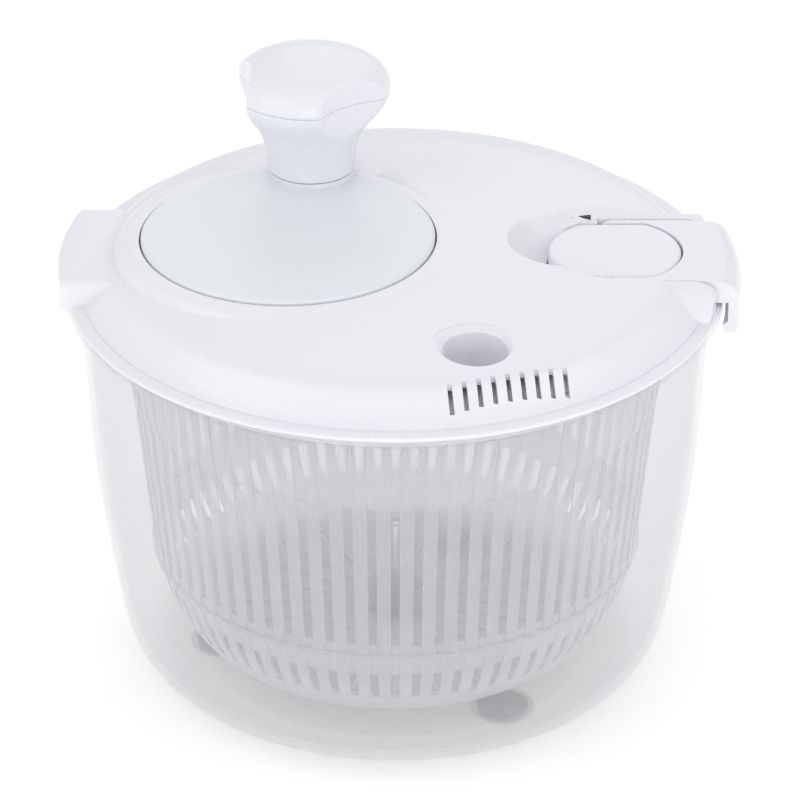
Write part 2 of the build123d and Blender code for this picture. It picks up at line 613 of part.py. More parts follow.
def brake_spring():
    """Compression spring under the button."""
    low, high, radius, wire = RECESS_FLOOR_Z, LATCH_TOP_Z - 2.6, 3.2, 0.4
    path = Pos(SPRING_X, 0, low + wire) * Helix(1.9, high - low - 2 * wire, radius)
    section = Plane(origin=path @ 0, z_dir=path % 0) * Circle(wire)
    return sweep(section, path)


# ---- write every sub-part -----------------------------------------------------------------
write("bowl", bowl())
for number, angle in enumerate(FOOT_ANGLES, 1):
    write(f"rubber_foot_{number}", rubber_foot(angle))
write("pivot_pin", pivot_pin())
write("basket_bush", basket_bush())
write("basket", basket())
write("lid_shell", lid_shell())
write("gear_cover", gear_cover())
write("cover_screws", cover_screws())
write("drive_bush", drive_bush())
write("crank_bush", crank_bush())
write("crank_disc", crank_disc())
write("crank_gear", crank_gear())
write("crank_washer", crank_washer())
write("crank_screw", crank_screw())
write("knob_spindle", knob_spindle())
write("knob_washer", knob_washer())
write("knob_screw", knob_screw())
write("knob_stem", knob_stem())
write("knob_head", knob_head())
write("drive_pinion", drive_pinion())
write("rotor_shaft", rotor_shaft())
write("rotor_plate", rotor_plate())
write("rotor_washer", rotor_washer())
write("rotor_screw", rotor_screw())
write("latch_pin", latch_pin())
write("latch_arm", latch_arm())
write("brake_button", brake_button())
write("brake_shoe", brake_shoe())
write("brake_spring", brake_spring())
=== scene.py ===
# %% [markdown]
# # A crank salad spinner
# This lesson builds the looks of a white kitchen salad spinner round a finished CAD model. The CAD
# model is the fixed frame: every size, joint and moving body comes from it. We add the clear bowl,
# the milky basket, the moulded lid and the soft edges that make plastic look like plastic.

# %% Load the frame
import math

import bmesh
import bpy
from mathutils import Matrix, Vector
from mathutils.bvhtree import BVHTree


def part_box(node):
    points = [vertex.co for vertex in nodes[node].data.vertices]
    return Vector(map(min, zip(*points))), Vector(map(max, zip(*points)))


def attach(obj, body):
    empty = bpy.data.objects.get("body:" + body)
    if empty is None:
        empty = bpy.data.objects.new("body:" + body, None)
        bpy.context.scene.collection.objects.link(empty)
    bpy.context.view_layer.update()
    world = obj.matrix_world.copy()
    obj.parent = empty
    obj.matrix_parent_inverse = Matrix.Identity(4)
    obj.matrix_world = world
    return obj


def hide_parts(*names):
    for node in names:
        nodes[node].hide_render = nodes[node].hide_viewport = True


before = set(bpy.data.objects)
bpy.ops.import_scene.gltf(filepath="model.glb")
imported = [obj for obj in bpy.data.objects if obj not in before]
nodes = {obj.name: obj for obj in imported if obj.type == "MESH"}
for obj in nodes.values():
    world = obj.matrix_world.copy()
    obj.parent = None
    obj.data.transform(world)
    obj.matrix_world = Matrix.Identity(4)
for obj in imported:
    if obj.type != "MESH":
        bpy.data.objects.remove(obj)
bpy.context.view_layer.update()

# %% [markdown]
# ## Camera, floor and light
# A long lens from a metre and a half away keeps the bowl's walls nearly parallel, as in a catalogue
# picture. We could aim the camera with a Track To constraint, but a constraint gets in the way when
# the camera is moved later, so we work out its rotation once from the line of sight.

# %% Camera
MM = 0.001
CAMERA_DISTANCE = 1.5
CAMERA_HEIGHT_ANGLE = math.radians(29.35)
CAMERA_TARGET = Vector((1.7, 0.0, 102.3)) * MM
CAMERA_LENS = 181.6
SENSOR_WIDTH = 36.0


def aim(obj, place, target):
    """Put a camera or a light somewhere and point it at a target."""
    obj.location = place
    obj.rotation_mode = "QUATERNION"
    obj.rotation_quaternion = (target - place).to_track_quat("-Z", "Y")


def add_camera():
    """A long-lens camera in front of the object, looking down at it."""
    data = bpy.data.cameras.new("product_camera")
    data.lens = CAMERA_LENS
    data.sensor_width = SENSOR_WIDTH
    camera = bpy.data.objects.new("product_camera", data)
    bpy.context.scene.collection.objects.link(camera)
    back = Vector((0, -math.cos(CAMERA_HEIGHT_ANGLE), math.sin(CAMERA_HEIGHT_ANGLE)))
    aim(camera, CAMERA_TARGET + back * CAMERA_DISTANCE, CAMERA_TARGET)
    bpy.context.scene.camera = camera
    return camera


camera = add_camera()
print("camera at", [round(v, 3) for v in camera.location])

# %% [markdown]
# White plastic on a white floor needs light that is soft but not flat. A pale world fills every
# shadow, and four large area lamps, like a studio's softboxes, give the gloss something to reflect.
# The Standard view transform keeps whites white, where the default one would turn them grey.

# %% World and softboxes
WORLD_STRENGTH = 0.83
SOFTBOX_HEIGHT_RATIO = 1.4
SOFTBOX_TARGET = Vector((0, 0, 0.1))
SOFTBOXES = {  # place in metres, width in metres, power in watts
    "softbox_left": ((-0.95, -0.35, 1.10), 0.70, 1.6),
    "softbox_right": ((1.00, -0.50, 0.85), 0.60, 1.0),
    "softbox_back": ((0.15, 1.20, 0.95), 0.80, 1.2),
    "softbox_front": ((0.10, -1.50, 0.45), 0.90, 4.5),
}


def add_world():
    """A plain pale surround."""
    world = bpy.data.worlds.new("pale_room")
    world.use_nodes = True
    background = world.node_tree.nodes["Background"]
    background.inputs["Color"].default_value = (0.97, 0.98, 1.0, 1.0)
    background.inputs["Strength"].default_value = WORLD_STRENGTH
    bpy.context.scene.world = world


def add_softbox(name, place, size, power):
    """One large area lamp pointed at the object."""
    data = bpy.data.lights.new(name, "AREA")
    data.shape = "RECTANGLE"
    data.size = size
    data.size_y = size * SOFTBOX_HEIGHT_RATIO
    data.energy = power
    lamp = bpy.data.objects.new(name, data)
    bpy.context.scene.collection.objects.link(lamp)
    aim(lamp, Vector(place), SOFTBOX_TARGET)


add_world()
for lamp_name, (lamp_place, lamp_size, lamp_power) in SOFTBOXES.items():
    add_softbox(lamp_name, lamp_place, lamp_size, lamp_power)
bpy.context.scene.view_settings.view_transform = "Standard"
print("softboxes:", len(SOFTBOXES))

# %% [markdown]
# ## Mesh helpers
# Most of a spinner is turned: its bowl, basket and knob are outlines swept round an upright line. A
# Screw modifier could do that, but a small function gives clean quads and closed poles, and lets us
# move single points afterwards.


# %% Outlines
def smooth_line(points, per_span=8):
    """Points on a soft curve through a few (radius, height) points, in millimetres."""
    line = []
    for index in range(len(points) - 1):
        before = points[max(index - 1, 0)]
        start, end = points[index], points[index + 1]
        after = points[min(index + 2, len(points) - 1)]
        for step in range(per_span):
            t = step / per_span
            line.append(tuple(
                0.5 * (2 * s + (e - b) * t + (2 * b - 5 * s + 4 * e - a) * t ** 2
                       + (3 * s - b - 3 * e + a) * t ** 3)
                for b, s, e, a in zip(before, start, end, after)))
    return line + [tuple(points[-1])]


def arc_line(centre, radius, start, end, steps=6):
    """Points on a round corner; angles in degrees, 0 outwards and 90 up."""
    angles = [math.radians(start + (end - start) * step / steps) for step in range(steps + 1)]
    return [(centre[0] + radius * math.cos(a), centre[1] + radius * math.sin(a)) for a in angles]


print("outline helpers ready")

# %% [markdown]
# Building with bmesh gives us every ring of points by hand. A point on the axis becomes one vertex
# instead of a ring, so that a turned shape closes there without a hole.


# %% Turned shapes
AXIS_RADIUS = 0.001  # millimetres; anything nearer the line counts as being on it


def mesh_from(form, name):
    """Turn a bmesh into a named mesh and free it."""
    mesh = bpy.data.meshes.new(name)
    form.to_mesh(mesh)
    form.free()
    return mesh


def add_piece(name, mesh):
    """Link a mesh as a new object at the origin, shaded smooth."""
    for face in mesh.polygons:
        face.use_smooth = True
    obj = bpy.data.objects.new(name, mesh)
    bpy.context.scene.collection.objects.link(obj)
    return obj


def turned_mesh(name, outline, steps=240, centre=(0.0, 0.0), closed=False):
    """Sweep (radius, height) points in millimetres round an upright line into a closed skin."""
    form = bmesh.new()
    rings = []
    for radius, height in outline:
        if radius < AXIS_RADIUS:
            rings.append([form.verts.new((centre[0] * MM, centre[1] * MM, height * MM))])
            continue
        ring = []
        for step in range(steps):
            turn = 2 * math.pi * step / steps
            x = centre[0] + radius * math.cos(turn)
            y = centre[1] + radius * math.sin(turn)
            ring.append(form.verts.new((x * MM, y * MM, height * MM)))
        rings.append(ring)
    pairs = list(zip(rings, rings[1:]))
    if closed:
        pairs.append((rings[-1], rings[0]))
    for low, high in pairs:
        for step in range(steps):
            after = (step + 1) % steps
            corners = [low[step % len(low)], low[after % len(low)], high[after % len(high)],
                       high[step % len(high)]]
            distinct = list(dict.fromkeys(corners))
            if len(distinct) > 2:
                form.faces.new(distinct)
    bmesh.ops.recalc_face_normals(form, faces=form.faces)
    return mesh_from(form, name)


def sharpen(obj, degrees=35):
    """Keep edges sharper than an angle crisp in the shading."""
    obj.data.set_sharp_from_angle(angle=math.radians(degrees))


print("turning helpers ready")

# %% [markdown]
# ## Moulded copies
# The CAD solids have perfectly sharp edges, and no moulded part does. For each visible moulding we
# copy the CAD mesh, join its loose triangles, and round its edges with a Bevel modifier that only
# touches sharp corners. The copy then stands for the CAD node, which stays hidden.


# %% Copy with softened edges
JOIN_DISTANCE = 0.000002
FLAT_ANGLE = math.radians(0.3)


def moulded_copy(node, name, width, segments, degrees=28):
    """A joined copy of a CAD node with its sharp edges rounded by a width in millimetres."""
    mesh = nodes[node].data.copy()
    mesh.name = name
    mesh.materials.clear()
    form = bmesh.new()
    form.from_mesh(mesh)
    bmesh.ops.remove_doubles(form, verts=form.verts, dist=JOIN_DISTANCE)
    bmesh.ops.dissolve_limit(form, angle_limit=FLAT_ANGLE, verts=form.verts, edges=form.edges)
    form.to_mesh(mesh)
    form.free()
    obj = add_piece(name, mesh)
    sharpen(obj, degrees)
    bevel = obj.modifiers.new("soft_edges", "BEVEL")
    bevel.width = width * MM
    bevel.segments = segments
    bevel.limit_method = "ANGLE"
    bevel.angle_limit = math.radians(degrees)
    bevel.use_clamp_overlap = True
    bevel.harden_normals = True
    return obj


print("moulded copy helper ready")

# %% [markdown]
# ## Plastics, steel and rubber
# Every finish is a small node tree on Object coordinates, so a pattern stays fixed to its piece when
# the piece turns. An image would need unwrapped surfaces; noise textures don't, and they keep their
# real scale. Moulded plastic shows three things: a faint waviness left by the mould, a fine skin
# texture, and thin handling scratches that only show in the gloss.


# %% Node helpers
def new_finish(name):
    """An empty node material, its node tree and its Principled shader."""
    material = bpy.data.materials.new(name)
    material.use_nodes = True
    tree = material.node_tree
    return material, tree, tree.nodes["Principled BSDF"]


def noise(tree, scale, detail=2.0, stretch=(1.0, 1.0, 1.0), roughness=0.5):
    """A noise texture on Object coordinates, with a scale in cycles per metre."""
    place = tree.nodes.new("ShaderNodeTexCoord")
    mapping = tree.nodes.new("ShaderNodeMapping")
    mapping.inputs["Scale"].default_value = stretch
    texture = tree.nodes.new("ShaderNodeTexNoise")
    texture.inputs["Scale"].default_value = scale
    texture.inputs["Detail"].default_value = detail
    texture.inputs["Roughness"].default_value = roughness
    tree.links.new(place.outputs["Object"], mapping.inputs["Vector"])
    tree.links.new(mapping.outputs["Vector"], texture.inputs["Vector"])
    return texture.outputs["Fac"]


def spread(tree, value, low, high, from_low=0.35, from_high=0.65):
    """Map a noise value onto a range."""
    node = tree.nodes.new("ShaderNodeMapRange")
    node.inputs["From Min"].default_value = from_low
    node.inputs["From Max"].default_value = from_high
    node.inputs["To Min"].default_value = low
    node.inputs["To Max"].default_value = high
    tree.links.new(value, node.inputs["Value"])
    return node.outputs["Result"]


def tint(tree, value, colour_a, colour_b):
    """Blend two colours by a value from 0 to 1."""
    ramp = tree.nodes.new("ShaderNodeValToRGB")
    ramp.color_ramp.elements[0].color = (*colour_a, 1.0)
    ramp.color_ramp.elements[1].color = (*colour_b, 1.0)
    tree.links.new(value, ramp.inputs["Fac"])
    return ramp.outputs["Color"]


def bump(tree, height, strength, distance, under=None):
    """A bump of a real height in metres, on top of another bump if there is one."""
    node = tree.nodes.new("ShaderNodeBump")
    node.inputs["Strength"].default_value = strength
    node.inputs["Distance"].default_value = distance
    tree.links.new(height, node.inputs["Height"])
    if under is not None:
        tree.links.new(under, node.inputs["Normal"])
    return node.outputs["Normal"]


print("node helpers ready")

# %% [markdown]
# Five opaque plastics differ only in colour, roughness and coat, so one function makes them all. The
# scratches are added to the roughness rather than to the colour, because on white plastic a scratch
# is seen only where it breaks the gloss.


# %% Moulded plastics
def moulded_plastic(name, colour, rough, wave=0.05, grain=0.04, coat=0.0):
    """Opaque moulded plastic with mould waviness, skin grain and handling scratches."""
    material, tree, shader = new_finish(name)
    cool = (colour[0] * 0.985, colour[1] * 0.988, colour[2])
    shade = tint(tree, spread(tree, noise(tree, 9.0, 1.0), 0.0, 1.0), cool, colour)
    tree.links.new(shade, shader.inputs["Base Color"])
    scratches = noise(tree, 900.0, 2.0, stretch=(1.0, 0.05, 0.4))
    skin = noise(tree, 160.0, 4.0)
    mixed = tree.nodes.new("ShaderNodeMath")
    mixed.operation = "MULTIPLY_ADD"
    tree.links.new(spread(tree, scratches, 0.0, 0.05, 0.62, 0.75), mixed.inputs[0])
    mixed.inputs[1].default_value = 1.0
    tree.links.new(spread(tree, skin, rough * 0.92, rough * 1.1), mixed.inputs[2])
    tree.links.new(mixed.outputs["Value"], shader.inputs["Roughness"])
    waviness = bump(tree, noise(tree, 9.0, 1.0), wave, 0.0006)
    normal = bump(tree, noise(tree, 2400.0, 2.0), grain, 0.00004, waviness)
    tree.links.new(normal, shader.inputs["Normal"])
    shader.inputs["IOR"].default_value = 1.50
    shader.inputs["Coat Weight"].default_value = coat
    shader.inputs["Coat Roughness"].default_value = 0.06
    return material


white_gloss = moulded_plastic("white_gloss", (0.835, 0.835, 0.86), 0.26, wave=0.03, grain=0.02,
                              coat=0.2)
disc_white = moulded_plastic("disc_white", (0.79, 0.82, 0.835), 0.34, wave=0.03, coat=0.1)
white_satin = moulded_plastic("white_satin", (0.84, 0.84, 0.85), 0.42)
acetal = moulded_plastic("natural_acetal", (0.80, 0.79, 0.73), 0.36)
bush_grey = moulded_plastic("bush_blue_grey", (0.20, 0.23, 0.31), 0.38)
print("opaque plastics ready")

# %% [markdown]
# The bowl is clear, so its look comes from what lies behind it. Full refraction would be the exact
# way, but it keeps soft light out of the closed bowl and leaves the basket dark. A thin wall hardly
# bends light anyway, so we let most of each ray pass straight through, by an Alpha that is low where
# the wall faces us and rises towards its edges. What remains is a hazy gloss. The basket is the same
# idea with a milky body, so that its ribs stay pale against the light behind them.


# %% Clear and milky plastic
def see_through(tree, shader, face_on, edge_on, power):
    """Let rays pass where the surface faces the viewer, and fewer of them near its edges."""
    slant = tree.nodes.new("ShaderNodeLayerWeight")
    slant.inputs["Blend"].default_value = 0.5
    curve = tree.nodes.new("ShaderNodeMath")
    curve.operation = "POWER"
    curve.inputs[1].default_value = power
    tree.links.new(slant.outputs["Facing"], curve.inputs[0])
    cover = spread(tree, curve.outputs["Value"], face_on, edge_on, 0.0, 1.0)
    tree.links.new(cover, shader.inputs["Alpha"])


def clear_plastic():
    """Hazy clear plastic of the bowl, with faint scuffs and flow lines."""
    material, tree, shader = new_finish("clear_bowl")
    scuffs = noise(tree, 260.0, 5.0, stretch=(1.0, 1.0, 0.35))
    tree.links.new(spread(tree, scuffs, 0.04, 0.10), shader.inputs["Roughness"])
    flow = noise(tree, 26.0, 2.0, stretch=(1.0, 1.0, 0.25))
    tree.links.new(bump(tree, flow, 0.10, 0.0005), shader.inputs["Normal"])
    see_through(tree, shader, 0.16, 0.55, 2.5)
    shader.inputs["Base Color"].default_value = (0.84, 0.84, 0.855, 1.0)
    shader.inputs["IOR"].default_value = 1.45
    return material


def milky_plastic():
    """Translucent basket plastic: cloudy inside, with a soft satin skin."""
    material, tree, shader = new_finish("milky_basket")
    cloud = spread(tree, noise(tree, 60.0, 4.0), 0.0, 1.0)
    body = tint(tree, cloud, (0.76, 0.76, 0.78), (0.81, 0.81, 0.83))
    tree.links.new(body, shader.inputs["Base Color"])
    tree.links.new(spread(tree, noise(tree, 300.0, 3.0), 0.30, 0.44), shader.inputs["Roughness"])
    tree.links.new(bump(tree, noise(tree, 900.0, 2.0), 0.08, 0.0001), shader.inputs["Normal"])
    see_through(tree, shader, 0.26, 0.74, 1.6)
    shader.inputs["IOR"].default_value = 1.40
    return material


clear_bowl = clear_plastic()
milky_basket = milky_plastic()
print("clear plastics ready")

# %% [markdown]
# Steel and rubber are told apart from plastic by their roughness and their marks. Stretching the noise
# along one direction turns it into the fine rings that a lathe leaves; a coarser, deeper bump with no
# direction reads as the open grain of rubber.


# %% Steel and rubber
def turned_steel():
    """Steel with fine turning marks round its axis."""
    material, tree, shader = new_finish("turned_steel")
    rings = noise(tree, 1500.0, 3.0, stretch=(0.05, 0.05, 1.0))
    patches = spread(tree, noise(tree, 90.0, 3.0), 0.0, 1.0)
    shade = tint(tree, patches, (0.50, 0.51, 0.54), (0.66, 0.67, 0.69))
    tree.links.new(shade, shader.inputs["Base Color"])
    tree.links.new(spread(tree, rings, 0.20, 0.40), shader.inputs["Roughness"])
    tree.links.new(bump(tree, rings, 0.25, 0.00003), shader.inputs["Normal"])
    shader.inputs["Metallic"].default_value = 1.0
    return material


def soft_rubber(name, dark, light):
    """Matt rubber with a fine open grain."""
    material, tree, shader = new_finish(name)
    shade = tint(tree, spread(tree, noise(tree, 220.0, 4.0), 0.0, 1.0), dark, light)
    tree.links.new(shade, shader.inputs["Base Color"])
    tree.links.new(spread(tree, noise(tree, 600.0, 3.0), 0.60, 0.82), shader.inputs["Roughness"])
    tree.links.new(bump(tree, noise(tree, 1800.0, 3.0), 0.35, 0.00008), shader.inputs["Normal"])
    return material


steel = turned_steel()
foot_grey = soft_rubber("foot_rubber", (0.30, 0.31, 0.32), (0.40, 0.41, 0.42))
shoe_dark = soft_rubber("shoe_rubber", (0.020, 0.020, 0.022), (0.045, 0.045, 0.048))
print("steel and rubber ready")

# %% [markdown]
# ## The clear bowl
# The bowl is one thin moulding. We draw its outer line and, about two millimetres inside it, its inner
# line, and join them over a rounded rim and under a foot ring. Turning the closed outline gives a skin
# with true thickness, so that the rim and the foot ring show as edges.

# %% Bowl outline
bowl_low, bowl_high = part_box("bowl")
RIM_R = bowl_high.x / MM
RIM_Z = bowl_high.z / MM
FOOT_RING_Z = bowl_low.z / MM
FLOOR_Z = FOOT_RING_Z + 4.4
RIM_DEPTH = 2.6


def bowl_outline():
    """Closed outline of the bowl's wall: up its outside, over the rim, down inside, back below."""
    under = RIM_Z - RIM_DEPTH
    outer = smooth_line([(83.6, FOOT_RING_Z), (89.0, 2.2), (94.4, 5.2), (98.2, 9.2), (101.2, 14.6),
                         (103.3, 22.0), (105.0, 32.0), (109.9, 65.0), (112.6, 92.0), (114.0, 120.0),
                         (115.3, under - 0.8)])
    rim = [(115.7, under - 0.1), (116.4, under)] + arc_line((RIM_R - 0.8, under + 0.8), 0.8, -90, 0)
    rim += arc_line((RIM_R - 0.7, RIM_Z - 0.7), 0.7, 0, 90)
    rim += arc_line((114.2, RIM_Z - 0.6), 0.6, 90, 180, 4)
    inner = smooth_line([(113.2, RIM_Z - 3.0), (111.6, 120.0), (110.2, 92.0), (107.5, 65.0),
                         (102.6, 32.6), (100.8, 22.6), (98.4, 15.6), (94.8, 10.2), (89.6, 6.8),
                         (83.0, 5.4), (78.0, FLOOR_Z)])
    floor = [(40.0, FLOOR_Z), (14.4, FLOOR_Z), (12.8, 5.7), (9.9, 11.0)]
    floor += arc_line((9.0, 10.8), 0.6, 0, 90, 3) + [(5.1, 11.4), (5.1, 7.4), (0.0, 7.4)]
    foot = [(0.0, 2.8), (40.0, 2.8), (74.8, 2.8)] + arc_line((75.4, 2.2), 0.6, 90, 20, 3)
    foot += arc_line((77.3, FOOT_RING_Z + 0.7), 0.7, 200, 270, 3)
    return outer + rim + inner + floor + foot


bowl = add_piece("bowl_clear", turned_mesh("bowl_clear", bowl_outline(), 256, closed=True))
bowl.data.materials.append(clear_bowl)
sharpen(bowl, 50)
print("bowl faces:", len(bowl.data.polygons))

# %% [markdown]
# The rubber feet stand inside small moulded rings. The rings repeat at equal angles, so a Geometry
# Nodes tree places one ring on each foot. The tree ends in Realize Instances and Set Material, which
# turn the instances into one plain mesh.

# %% Geometry Nodes ring of instances
MERGE_DISTANCE = 0.000004


def ring_tree(name, material):
    """A tree that repeats its input mesh round the upright axis."""
    tree = bpy.data.node_groups.new(name, "GeometryNodeTree")
    sockets = tree.interface
    sockets.new_socket("Geometry", in_out="INPUT", socket_type="NodeSocketGeometry")
    sockets.new_socket("Count", in_out="INPUT", socket_type="NodeSocketInt")
    sockets.new_socket("First Angle", in_out="INPUT", socket_type="NodeSocketFloat")
    sockets.new_socket("Geometry", in_out="OUTPUT", socket_type="NodeSocketGeometry")
    make = tree.nodes.new
    start, end = make("NodeGroupInput"), make("NodeGroupOutput")
    points, instance = make("GeometryNodePoints"), make("GeometryNodeInstanceOnPoints")
    index, step, turn = make("GeometryNodeInputIndex"), make("ShaderNodeMath"), make("ShaderNodeMath")
    share, angle = make("ShaderNodeMath"), make("ShaderNodeCombineXYZ")
    realize, merge, paint = (make("GeometryNodeRealizeInstances"), make("GeometryNodeMergeByDistance"),
                             make("GeometryNodeSetMaterial"))
    share.operation, step.operation, turn.operation = "DIVIDE", "MULTIPLY", "ADD"
    share.inputs[0].default_value = 2 * math.pi
    merge.inputs["Distance"].default_value = MERGE_DISTANCE
    paint.inputs["Material"].default_value = material
    link = tree.links.new
    link(start.outputs["Count"], points.inputs["Count"])
    link(start.outputs["Count"], share.inputs[1])
    link(index.outputs["Index"], step.inputs[0])
    link(share.outputs["Value"], step.inputs[1])
    link(step.outputs["Value"], turn.inputs[0])
    link(start.outputs["First Angle"], turn.inputs[1])
    link(turn.outputs["Value"], angle.inputs["Z"])
    link(points.outputs["Points"], instance.inputs["Points"])
    link(start.outputs["Geometry"], instance.inputs["Instance"])
    link(angle.outputs["Vector"], instance.inputs["Rotation"])
    link(instance.outputs["Instances"], realize.inputs["Geometry"])
    link(realize.outputs["Geometry"], merge.inputs["Geometry"])
    link(merge.outputs["Geometry"], paint.inputs["Geometry"])
    link(paint.outputs["Geometry"], end.inputs["Geometry"])
    return tree


print("ring tree ready")

# %% [markdown]
# A modifier's inputs are set by each socket's identifier, because two sockets may share a name. When
# the tree has run, we keep its result as a plain mesh and drop the modifier.


# %% Running the tree
def set_input(modifier, name, value):
    """Set a modifier input by its socket's identifier."""
    for item in modifier.node_group.interface.items_tree:
        if item.in_out == "INPUT" and item.name == name:
            modifier[item.identifier] = value


def baked(obj):
    """Replace an object's mesh by its evaluated one and drop its modifiers."""
    bpy.context.view_layer.update()
    depsgraph = bpy.context.evaluated_depsgraph_get()
    mesh = bpy.data.meshes.new_from_object(obj.evaluated_get(depsgraph))
    mesh.name = obj.name
    obj.modifiers.clear()
    obj.data = mesh
    return obj


def repeat_round(obj, count, first_angle, material):
    """Repeat a piece round the main axis with Geometry Nodes and keep the plain mesh."""
    modifier = obj.modifiers.new("round_the_axis", "NODES")
    modifier.node_group = ring_tree(obj.name + "_ring", material)
    set_input(modifier, "Count", count)
    set_input(modifier, "First Angle", math.radians(first_angle))
    return baked(obj)


print("tree runner ready")

# %% [markdown]
# Each foot's place comes from the CAD model: we read one foot's box, and its middle gives both the
# circle that the feet stand on and the angle of the first one.

# %% Foot seats
FOOT_COUNT = 3
foot_low, foot_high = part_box("rubber_foot_1")
foot_middle = ((foot_low + foot_high) / 2).to_2d()
FOOT_CIRCLE = math.hypot(*foot_middle) / MM
FOOT_START = math.degrees(math.atan2(foot_middle.y, foot_middle.x))


def foot_seat_outline():
    """Closed outline of the moulded ring round one foot, measured from the foot's own axis."""
    inner, outer, low, high = 9.7, 11.7, 1.2, 2.82
    edge = 0.3
    return [(inner, high), (inner, low + edge), (inner + edge, low), (outer - edge, low),
            (outer, low + edge), (outer, high)]


seat_mesh = turned_mesh("bowl_foot_seats", foot_seat_outline(), 48, (FOOT_CIRCLE, 0.0), closed=True)
seats = repeat_round(add_piece("bowl_foot_seats", seat_mesh), FOOT_COUNT, FOOT_START, clear_bowl)
sharpen(seats)
print("foot seats:", len(seats.data.polygons), "faces at", round(FOOT_START, 1), "degrees")

# %% [markdown]
# ## The slotted basket
# Seen closely, the basket is a thin wall cut into ribs. A slice of fifteen degrees holds three wall
# slots and one floor slot, so we draw the skin of that slice, leave out the faces where the slots are,
# and let Geometry Nodes repeat it round the axis. Solidify then gives every edge of every slot its
# thickness. Cutting so many slots with Booleans would be slow and fragile.

# %% Basket line
BASKET_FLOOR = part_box("basket")[0].z / MM
BASKET_WALL = 1.8
SLICES = 24
SLOTS_PER_SLICE = 3
RIB_HEIGHT = 0.7
RIB_LOW_Z = 30.0
WALL_SLOT_R, WALL_SLOT_Z = 90.75, 52.0
WALL_LEAN = 0.0955
UPPER_R, UPPER_Z = 97.4, 116.4
UPPER_LEAN = 0.121
FLOOR_SLOT_COLUMNS = (0, 1)
SLOT_PITCH = 5.0


def basket_line():
    """Outer line of the basket from hub to rim, as radius, height and the kind of band below."""
    floor = [(13.6, BASKET_FLOOR, "solid"), (24.0, BASKET_FLOOR, "solid")]
    floor += [(24.0 + 6.4 * step, BASKET_FLOOR, "floor_slot") for step in range(1, 7)]
    floor += [(66.0, BASKET_FLOOR, "solid")]
    corner = smooth_line([(66.0, 12.0), (73.0, 13.6), (79.0, 18.4), (83.0, 25.0)], 4)[1:]
    low_wall = smooth_line([(83.0, 25.0), (86.4, 33.0), (88.0, 38.0)], 3)[1:]
    line = floor + [(r, z, "solid") for r, z in corner] + [(r, z, "low_slot") for r, z in low_wall]
    line += [(90.0, 45.6, "solid"), (91.1, 46.3, "solid"), (91.3, 48.0, "solid"), (90.5, 48.6, "solid")]
    line += [(WALL_SLOT_R, WALL_SLOT_Z, "solid")]
    line += [(WALL_SLOT_R + WALL_LEAN * up, WALL_SLOT_Z + up, "wall_slot") for up in range(6, 61, 6)]
    line += [(96.7, 115.0, "solid"), (UPPER_R, UPPER_Z, "solid")]
    return line + [(UPPER_R + UPPER_LEAN * up, UPPER_Z + up, "solid") for up in (7, 14, 21, 29)]


print("basket line points:", len(basket_line()))

# %% [markdown]
# The slice is a grid: its columns go round in degrees, and its rows go up the basket's line. A column
# is either the slot, the flat beside it or the raised back of a rib, which stands a little proud.

# %% Basket slice
def basket_slice():
    """One slice of the basket's skin, with faces left out where the slots are."""
    columns = []
    for slot in range(SLOTS_PER_SLICE):
        middle = SLOT_PITCH * slot
        columns += [(middle - 1.0, 0, "slot"), (middle, 0, "slot"), (middle + 1.0, 0, "rib")]
        columns += [(middle + 1.2, 1, "rib"), (middle + 2.5, 1, "rib"), (middle + 3.8, 1, "rib")]
    columns.append((SLOT_PITCH * SLOTS_PER_SLICE - 1.0, 0, "rib"))
    form = bmesh.new()
    rows = []
    for radius, height, kind in basket_line():
        proud = RIB_HEIGHT if height > RIB_LOW_Z else 0.0
        row = []
        for degrees, raised, _ in columns:
            reach = (radius + proud * raised) * MM
            turn = math.radians(degrees)
            place = (reach * math.cos(turn), reach * math.sin(turn), height * MM)
            row.append(form.verts.new(place))
        rows.append((row, kind))
    for (low, _), (high, kind) in zip(rows, rows[1:]):
        for index, (_, _, zone) in enumerate(columns[:-1]):
            floor_cut = kind == "floor_slot" and index in FLOOR_SLOT_COLUMNS
            wall_cut = kind in ("low_slot", "wall_slot") and zone == "slot"
            if not (floor_cut or wall_cut):
                form.faces.new((low[index], low[index + 1], high[index + 1], high[index]))
    loose = [vertex for vertex in form.verts if not vertex.link_faces]
    bmesh.ops.delete(form, geom=loose, context="VERTS")
    return mesh_from(form, "basket_milky")


def solid_wall(obj, thickness):
    """Give an open skin a wall on its inner side and keep the plain mesh."""
    wall = obj.modifiers.new("wall", "SOLIDIFY")
    wall.thickness = thickness * MM
    wall.offset = -1.0
    return baked(obj)


basket = add_piece("basket_milky", basket_slice())
basket = repeat_round(basket, SLICES, 0.0, milky_basket)
basket = solid_wall(basket, BASKET_WALL)
sharpen(basket, 40)
print("basket faces:", len(basket.data.polygons))

# %% [markdown]
# The hub in the middle of the floor and the rim at the top are plain turned rings, so they are added
# as pieces of their own in the same milky plastic.


# %% Basket hub and rim
def add_turned(name, outline, material, steps, centre=(0.0, 0.0)):
    """A turned piece with a closed outline and one material."""
    piece = add_piece(name, turned_mesh(name, outline, steps, centre, closed=True))
    piece.data.materials.append(material)
    sharpen(piece, 40)
    return piece


